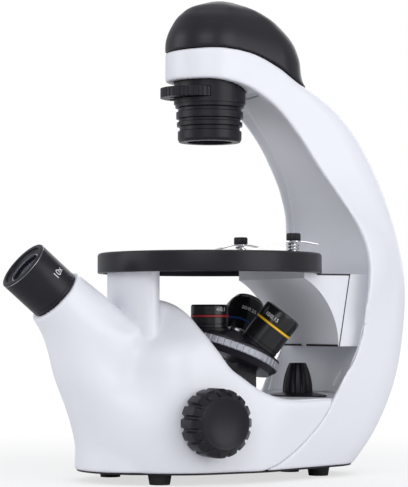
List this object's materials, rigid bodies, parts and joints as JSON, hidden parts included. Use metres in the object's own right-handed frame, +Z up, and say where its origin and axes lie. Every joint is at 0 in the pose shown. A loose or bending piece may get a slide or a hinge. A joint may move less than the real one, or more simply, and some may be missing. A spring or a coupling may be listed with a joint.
{
  "type": "inverted microscope",
  "caption": "Small inverted microscope: curved arm with a lamp above a round stage with clips, tilted objective turret below it, focus knobs and an inclined eyepiece.",
  "frame": {"origin": "on the bench, on the optical axis under the middle of the stage", "axes": "+Z up, -Y to the front where the eyepiece is, +Y to the arm, X across"},
  "size_m": [0.136, 0.2471, 0.2678],
  "materials": {
    "white_shell": "cool white, satin moulded plastic",
    "inner_grey": "light grey, matt moulded plastic",
    "black_satin": "black, satin paint",
    "black_plastic": "black, satin moulded plastic",
    "rubber": "black, matt",
    "steel": "turned steel",
    "chrome": "bright plating",
    "alu": "machined",
    "brass": "turned",
    "glass": "polished",
    "mirror": "front surface",
    "board": "circuit board",
    "led": "clear dome",
    "dark_glass": "coated"
  },
  "bodies": {
    "stand": {"aperture_wheel_axle": "steel", "arm_inner_cover": "inner_grey", "arm_shell_left": "white_shell", "arm_shell_right": "white_shell", "base_plate": "black_satin", "base_shell_left": "white_shell", "base_shell_right": "white_shell", "clip_post_left": "chrome", "clip_post_right": "chrome", "condenser_barrel": "black_satin", "condenser_lens": "glass", "dimmer_control": "black_plastic", "eyepiece_sleeve": "alu", "folding_mirror": "mirror", "foot_front_left": "rubber", "foot_front_right": "rubber", "foot_rear_left": "rubber", "foot_rear_right": "rubber", "foot_screws": "steel", "guide_rods": "steel", "head_cap": "black_plastic", "lamp_board": "board", "lamp_housing": "black_plastic", "lamp_led": "led", "mirror_mount": "alu", "power_inlet": "black_plastic", "rear_shelf": "white_shell", "shaft_bushes": "brass", "stage_bracket": "inner_grey", "stage_plate": "black_satin", "stage_screws": "steel"},
    "eyepiece": {"eyepiece_head": "black_satin", "eyepiece_barrel": "chrome", "eyepiece_eye_lens": "dark_glass", "eyepiece_field_lens": "glass"},
    "carriage": {"focus_carriage": "alu", "focus_rack": "brass", "nosepiece_base": "black_satin", "turret_axle": "steel"},
    "turret": {"nosepiece_turret": "black_satin", "turret_grip": "chrome", "objective_4x": "black_satin", "objective_10x": "black_satin", "objective_20x": "black_satin", "objective_lenses": "dark_glass"},
    "focus_drive": {"focus_shaft": "steel", "focus_pinion": "brass", "focus_knob_left": "black_plastic", "focus_knob_right": "black_plastic"},
    "aperture_disc": {"aperture_wheel": "black_plastic"},
    "dimmer": {"dimmer_knob": "black_plastic", "dimmer_skirt": "black_plastic", "dimmer_shaft": "steel"},
    "insert": {"stage_insert": "black_plastic"},
    "clip_left": {"clip_cap_left": "chrome", "clip_spring_left": "steel"},
    "clip_right": {"clip_cap_right": "chrome", "clip_spring_right": "steel"},
    "leaf_left": {"clip_leaf_left": "chrome"},
    "leaf_right": {"clip_leaf_right": "chrome"}
  },
  "joints": [
    {"name": "focus_travel", "type": "slide", "parent": "stand", "child": "carriage", "axis": [0, 0, 1], "range_m": [-0.006, 0.004]},
    {"name": "focus_turn", "type": "hinge", "parent": "stand", "child": "focus_drive", "pos_m": [0, -0.027, 0.0335], "axis": [1, 0, 0], "range_deg": [-87, 58.5]},
    {"name": "turret_spin", "type": "hinge", "parent": "carriage", "child": "turret", "pos_m": [0, 0, 0.0386], "axis": [0, 0.3746, 0.9272], "continuous": true},
    {"name": "aperture_spin", "type": "hinge", "parent": "stand", "child": "aperture_disc", "pos_m": [0, -0.0113, 0.2151], "axis": [0, 0, 1], "continuous": true},
    {"name": "dimmer_turn", "type": "hinge", "parent": "stand", "child": "dimmer", "pos_m": [0, 0.0575, 0.0457], "axis": [0, 0, -1], "range_deg": [0, 270]},
    {"name": "eyepiece_pull", "type": "slide", "parent": "stand", "child": "eyepiece", "axis": [0, -0.766, 0.6428], "range_m": [0, 0.03]},
    {"name": "insert_lift", "type": "slide", "parent": "stand", "child": "insert", "axis": [0, 0, 1], "range_m": [0, 0.02]},
    {"name": "clip_swing_left", "type": "hinge", "parent": "stand", "child": "clip_left", "pos_m": [-0.03, 0.037, 0.1321], "axis": [0, 0, -1], "range_deg": [-35, 90]},
    {"name": "clip_press_left", "type": "hinge", "parent": "clip_left", "child": "leaf_left", "pos_m": [-0.02942, 0.03284, 0.1321], "axis": [-0.9903, -0.1392, 0], "range_deg": [0, 10], "stiffness_Nm_per_rad": 0.05, "springref_deg": -5.73, "deforming": ["clip_spring_left"]},
    {"name": "clip_swing_right", "type": "hinge", "parent": "stand", "child": "clip_right", "pos_m": [0.03, 0.037, 0.1321], "axis": [0, 0, 1], "range_deg": [-35, 90]},
    {"name": "clip_press_right", "type": "hinge", "parent": "clip_right", "child": "leaf_right", "pos_m": [0.02942, 0.03284, 0.1321], "axis": [-0.9903, 0.1392, 0], "range_deg": [0, 10], "stiffness_Nm_per_rad": 0.05, "springref_deg": -5.73, "deforming": ["clip_spring_right"]}
  ],
  "couplings": [
    {"joint": "focus_turn", "follows": "focus_travel", "rad_per_m": 250}
  ]
}
